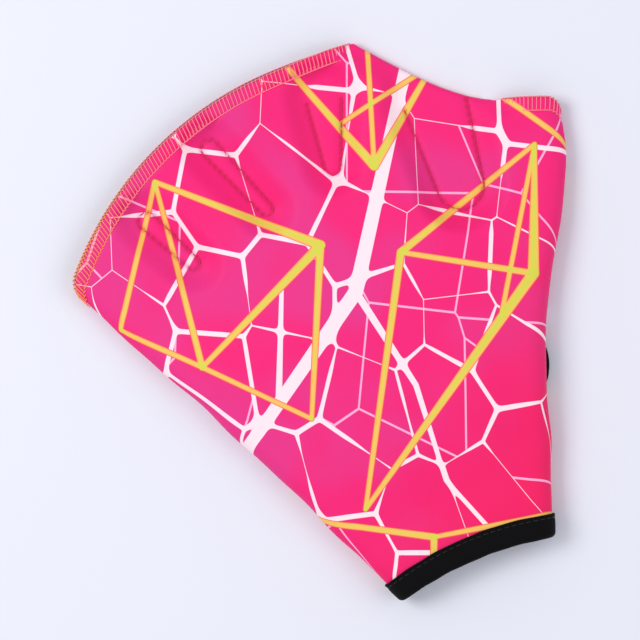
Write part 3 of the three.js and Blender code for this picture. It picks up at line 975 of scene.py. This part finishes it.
def sew(name, points, tree, thread, **sizes):
    """Runs a stitch tree on its points and keeps a plain mesh."""
    modifier = points.modifiers.new("stitches", "NODES")
    modifier.node_group = tree
    sizes["Thread"] = thread
    for item in tree.interface.items_tree:
        if item.in_out == "INPUT" and item.name in sizes:
            modifier[item.identifier] = sizes[item.name]
    mesh = made_plain(points)
    bpy.data.objects.remove(points)
    mesh.name = name
    print(name, len(mesh.polygons), "faces")
    return add_object(name, mesh)


# %% [markdown]
# The print is made of shader groups that read the cloth's own flat pattern, in millimetres. One draws cream
# veins, which part the ground into rounded cells, and hairlines. One paints a tapered line, and tables of
# lines make the bands and the angular figures. They only hand masks and heights to the cloth's own
# Principled shader.

# %% Shader groups of the print
UNPAINTED = -9.0
FINE = 0.75  # size of the hairlines' cells against the veins'
FILLET_FROM, FILLET_GAIN = 0.158, 34.0  # rounds the cells' corners
THINNING = 2.2  # takes the rounding away where the veins are thin


def smooth_step(value, low, high):
    return put(value.tree, "ShaderNodeMapRange", value, low, high, interpolation_type="SMOOTHSTEP")


def blend(share, a, b, kind="MIX"):
    """Mixes colours, which are inputs 6 and 7 of the node and its output 2."""
    tree = (share if isinstance(share, Wire) else a).tree
    sources = (share, None, None, None, None, None, a, b)
    return put(tree, "ShaderNodeMix", *sources, output=2, data_type="RGBA", blend_type=kind)


def cells(place, feature, scale, randomness):
    sizes = {"Vector": place, "Scale": scale, "Randomness": randomness}
    settings = {"voronoi_dimensions": "2D", "feature": feature}
    return put(place.tree, "ShaderNodeTexVoronoi", named=sizes, output="Distance", **settings)


def moved(place, shift, turn, stretch=(1, 1, 1)):
    return put(place.tree, "ShaderNodeMapping", place, shift, (0, 0, turn), stretch)


def noise(place, scale, detail=1.0):
    sizes = {"Vector": place, "Scale": scale, "Detail": detail}
    return put(place.tree, "ShaderNodeTexNoise", named=sizes, noise_dimensions="2D")


def use(tree, group, sizes, output):
    return put(tree, "ShaderNodeGroup", node_tree=group, named=sizes, output=output)


def painted_line():
    """One tapered line, painted over the lines before it."""
    sizes = {"Place": "Vector", "Start": "Vector", "End": "Vector", "Half Start": 1.2, "Half End": 1.2}
    depths = {"Top": UNPAINTED, "Second": UNPAINTED}
    tree, given, out = new_group("painted_line", "Shader", {**sizes, **depths}, depths)
    place, start, end, half_start, half_end, top, second = given
    line = end.vector_op("SUBTRACT", start)
    from_start = place.vector_op("SUBTRACT", start)
    along = from_start.vector_op("DOT_PRODUCT", line) / line.vector_op("DOT_PRODUCT", line)
    along = along.op("MAXIMUM", 0.0).op("MINIMUM", 1.0)
    nearest = line.vector_op("SCALE", None, None, along)
    distance = from_start.vector_op("SUBTRACT", nearest).vector_op("LENGTH")
    depth = (half_end - half_start) * along + half_start - distance
    fill(tree, out["Top"], top.op("MAXIMUM", depth))
    fill(tree, out["Second"], second.op("MAXIMUM", top.op("MINIMUM", depth)))
    return tree


PAINTED_LINE = painted_line()


def paint(place, strokes):
    """Paints rows of (x, y, half width), and gives the depth inside one line, and inside two."""
    top = second = UNPAINTED
    for stroke in strokes:
        for (x1, y1, half1), (x2, y2, half2) in zip(stroke, stroke[1:]):
            sizes = {"Place": place, "Start": (x1, y1, 0), "End": (x2, y2, 0), "Half Start": half1}
            sizes.update({"Half End": half2, "Top": top, "Second": second})
            top = use(place.tree, PAINTED_LINE, sizes, "Top")
            second = top.beside("Second")
    return top, second


def veins(name, shift, turn, bands):
    """Cream veins between rounded cells, a few broad bands, and hairlines."""
    sizes = {"Place": "Vector", "Cell": 31.0, "Width": 1.75}
    tree, (place, cell, width), out = new_group(name, "Shader", sizes, {"Cream": 0.0, "Hair": 0.0})
    turned = moved(place, shift, turn, (1.0, 0.8, 1.0))
    scale = cell.op("POWER", -1.0)
    sharp = cells(turned, "F1", scale, 0.55)
    round_off = sharp - cells(turned, "SMOOTH_F1", scale, 0.55)
    broad = smooth_step(noise(moved(place, (7.0, 3.0, 0.0), 0.4), 0.021), 0.4, 0.58)
    fillet = (round_off - FILLET_FROM) * FILLET_GAIN + (broad - 1.0) * THINNING
    vein = width * broad * 0.42 + 0.14 - cells(turned, "DISTANCE_TO_EDGE", scale, 0.55) * cell
    band, _ = paint(place, bands)
    joined = vein.op("SMOOTH_MAX", fillet, 1.0).op("SMOOTH_MAX", band, 3.2)
    fill(tree, out["Cream"], smooth_step(joined, -0.08, 0.12))
    fine = moved(place, (shift[0] + 31.0, shift[1] - 12.0, 0.0), turn + 0.7, (1.0, 0.75, 1.0))
    from_hair = cells(fine, "DISTANCE_TO_EDGE", scale * FINE, 1.0) * cell / FINE
    chosen = put(tree, "ShaderNodeSeparateColor", sharp.beside("Color"))
    thin = chosen.op("GREATER_THAN", 0.5) * 0.44
    fill(tree, out["Hair"], smooth_step(thin - from_hair, -0.02, 0.16))
    return tree


def knit(name, pitch, height):
    """A group that gives a knit's height at a place."""
    inputs = {"Place": "Vector", "Pitch": pitch}
    tree, (place, size), out = new_group(name, "Shader", inputs, {"Height": 0.0})
    x, y, _ = place.parts()
    fill(tree, out["Height"], height(x, y, size))
    return tree


def jersey(x, y, pitch):
    """Fine jersey: columns of small nested V stitches."""
    share = (x / pitch).op("FRACT")
    nested = (share - 0.5).op("ABSOLUTE") * 1.5 + y / (pitch * 0.8)
    return (share * math.pi).op("SINE") * ((nested * math.tau).op("SINE") * 0.3 + 0.7)


def ribs(x, y, pitch):
    """Ribs across the tape, with a soft ridge down each."""
    return (y * (math.tau / 0.55)).op("SINE") * 0.18 + (x / pitch * math.pi).op("SINE").op("ABSOLUTE")


JERSEY, RIBS = knit("jersey", 0.62, jersey), knit("ribs", 0.9, ribs)
print("shader groups:", [g.name for g in bpy.data.node_groups if g.type == "SHADER"])

# %% [markdown]
# The figures and the bands are this lesson's own drawing. Each row is one stroke, with its place and half
# width at each point in millimetres. The palm side wears a second table.

# %% Lines of the print
BACK_FIGURES = [
    [(-34, -70, 1.2), (70, -6, 2.6), (92, 44, 1.2), (22, 24, 1.9), (-34, -70, 1.2)],
    [(22, 24, 1.3), (70, -6, 1.6)],
    [(92, 44, 1.2), (50, -18, 1.3)],
    [(-100, 40, 1.4), (-62, 92, 1.3), (-8, 40, 2.3), (-74, 12, 1.3), (-100, 40, 1.3)],
    [(-62, 92, 1.2), (-74, 12, 1.6)],
    [(-8, 40, 1.9), (-40, -26, 1.2), (-74, 12, 1.3)],
    [(6, 122, 1.3), (26, 62, 2.2), (66, 92, 1.3), (19, 84, 1.2)],
    [(44, 112, 1.3), (26, 62, 1.3)],
    [(-56, -66, 1.3), (-12, -92, 1.7), (-26, -124, 1.3)],
    [(-12, -92, 1.2), (44, -104, 1.5)],
    [(118, 18, 1.4), (84, 74, 1.4), (130, 60, 1.2)],
]
PALM_FIGURES = [
    [(60, -58, 1.2), (-48, -8, 2.4), (-84, 46, 1.3), (-12, 30, 1.8), (60, -58, 1.3)],
    [(-12, 30, 1.3), (-48, -8, 1.4)],
    [(100, 20, 1.3), (70, 84, 1.4), (18, 52, 2.2), (76, 8, 1.3), (100, 20, 1.3)],
    [(-40, 128, 1.3), (-30, 70, 2.0), (-70, 96, 1.2)],
    [(-30, 70, 1.3), (14, 104, 1.5), (-2, 130, 1.2)],
    [(36, -118, 1.3), (10, -84, 1.8), (-40, -96, 1.3)],
    [(-60, -50, 1.2), (10, -84, 1.4)],
]
BACK_BANDS = [
    [(-84, -36, 2.4), (-2, 16, 3.1), (58, 100, 2.5)],
    [(-2, 16, 1.6), (6, -30, 1.2), (2, -72, 0.9), (20, -124, 1.0)],
    [(-50, -14, 1.4), (-30, 30, 0.9)],
]
PALM_BANDS = [
    [(84, -30, 2.3), (-6, 4, 3.0), (-40, 112, 2.3)],
    [(-6, 4, 1.5), (-30, -40, 0.9), (-50, -76, 0.5)],
]

HOT_PINK, FOLD_SHADE_ROSE, SHADE_RED = (0.9, 0.012, 0.185, 1), (0.8, 0.029, 0.24, 1), (0.9, 0.007, 0.12, 1)
CREAM, PALE_PINK = (1.0, 0.77, 0.84, 1), (1.0, 0.42, 0.66, 1)
AMBER, LIME, RUST = (1.0, 0.5, 0.13, 1), (0.69, 0.66, 0.075, 1), (0.85, 0.13, 0.03, 1)
PRESSED_AND_SHADED = (0.62, 0.2, 0.42, 1)
THREAD_PINK, THREAD_ORANGE, THREAD_RED = (1.0, 0.24, 0.3, 1), (1.0, 0.3, 0.12, 1), (0.7, 0.005, 0.11, 1)
INNER_BLACK, TAPE_BLACK = (0.012, 0.012, 0.014, 1), (0.003, 0.0025, 0.003, 1)
THREAD_BLACK = (0.008, 0.008, 0.009, 1)

# %% [markdown]
# Printed cloth has a pink ground under the veins and figures. Noise lays darker rose blotches over it,
# which are painted shade of soft folds, and the ground turns a deeper red towards the cuff and the thumb
# side, which is painted shade. Amber lines turn to lime where they are broad or cross one another, and each
# has a thin rusty edge, because the inks overlap there.


# %% Cloth, tape and thread
def flat_place(tree):
    """The cloth's own flat pattern in millimetres."""
    return moved(put(tree, "ShaderNodeUVMap", uv_map="print"), (0, 0, 0), 0.0, (1000, 1000, 1000))


def knit_bump(tree, sockets, group, strength, distance):
    height = use(tree, group, {"Place": flat_place(tree)}, "Height")
    sizes = {"Strength": strength, "Distance": distance, "Height": height}
    fill(tree, sockets["Normal"], put(tree, "ShaderNodeBump", named=sizes))


def printed_cloth(name, strokes, bands, shift, turn):
    material, tree, sockets = plain_material(name, HOT_PINK, 0.62, 0.12, 0.35, 0.25)
    place = flat_place(tree)
    # Darker rose blotches laid by noise: painted shade of soft folds.
    colour = blend(smooth_step(noise(place, 0.017, 2.0), 0.42, 0.66), HOT_PINK, FOLD_SHADE_ROSE)
    # A deeper red towards the cuff and the thumb side: painted shade.
    toward_shaded_side = place.vector_op("DOT_PRODUCT", (0.55, -0.84, 0.0))
    colour = blend(smooth_step(toward_shaded_side, 10.0, 105.0), colour, SHADE_RED)
    cream = use(tree, veins(name + "_veins", shift, turn, bands), {"Place": place}, "Cream")
    colour = blend(cream.beside("Hair"), colour, PALE_PINK)
    colour = blend(cream, colour, CREAM)
    one, two = paint(place, strokes)
    ink = blend(smooth_step(one, 0.9, 1.5), AMBER, LIME)
    ink = blend(smooth_step(two, -0.3, 0.3), ink, LIME)
    ink = blend(smooth_step(one, 0.14, 0.5), RUST, ink)
    colour = blend(smooth_step(one, -0.12, 0.1), colour, ink)
    # Darker pink along the web stitches: partly the pressed cloth's own colour, partly painted shade in the
    # groove.
    seam = put(tree, "ShaderNodeAttribute", output="Fac", attribute_name="seam")
    shade = blend(smooth_step(seam, 0.15, 1.1) * 0.7, (1, 1, 1, 1), PRESSED_AND_SHADED)
    fill(tree, sockets["Base Color"], blend(1.0, colour, shade, "MULTIPLY"))
    knit_bump(tree, sockets, JERSEY, 0.25, 0.00012)
    return material


back_print = printed_cloth("back_print", BACK_FIGURES, BACK_BANDS, (12.0, 5.0, 0.0), 0.55)
palm_print = printed_cloth("palm_print", PALM_FIGURES, PALM_BANDS, (-40.0, 77.0, 0.0), -0.5)

inner_knit, tree, sockets = plain_material("inner_knit", INNER_BLACK, 0.75, 0.25, 0.4)
knit_bump(tree, sockets, JERSEY, 0.35, 0.00014)

tape_knit, tree, sockets = plain_material("tape_knit", TAPE_BLACK, 0.75, 0.015, 0.4, 0.08)
knit_bump(tree, sockets, RIBS, 0.6, 0.00016)

# The overlock turns orange towards the little finger's side
pink_thread, tree, sockets = plain_material("pink_thread", THREAD_PINK, 0.5, 0.2)
along_x, _, _ = put(tree, "ShaderNodeTexCoord", output="Object").parts()
fill(tree, sockets["Base Color"], blend(smooth_step(along_x, -0.1, -0.05), THREAD_ORANGE, THREAD_PINK))
seam_thread = plain_material("seam_thread", THREAD_RED, 0.5, 0.2)[0]
black_thread = plain_material("black_thread", THREAD_BLACK, 0.5, 0.1)[0]

for piece, outside in ((back_cloth, back_print), (palm_cloth, palm_print)):
    piece.data.materials.append(outside)
    piece.data.materials.append(inner_knit)
cuff_tape.data.materials.append(tape_knit)
hole_tape.data.materials.append(tape_knit)

overlock = sew("overlock_thread", overlock_points, OVERLOCK, pink_thread)
web_stitches = sew("web_stitches", web_points, LOCKSTITCH, seam_thread, Radius=0.00026)
tape_stitches = sew("tape_stitches", tape_points, LOCKSTITCH, black_thread, Length=0.0025)

# %% [markdown]
# Last, the hand-over. Every piece rides on the one body. Panels and tapes stand for their own solids, which
# are hidden.

# %% Hand-over
for piece, finish, solid in (
    (back_cloth, "printed_neoprene", "back_panel"),
    (palm_cloth, "printed_neoprene", "palm_panel"),
    (cuff_tape, "black_tape", "cuff_binding"),
    (hole_tape, "black_tape", "hole_binding"),
    (overlock, "pink_thread", None),
    (web_stitches, "pink_thread", None),
    (tape_stitches, "black_thread", None),
):
    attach(piece, "root")
    if solid:
        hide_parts(solid)
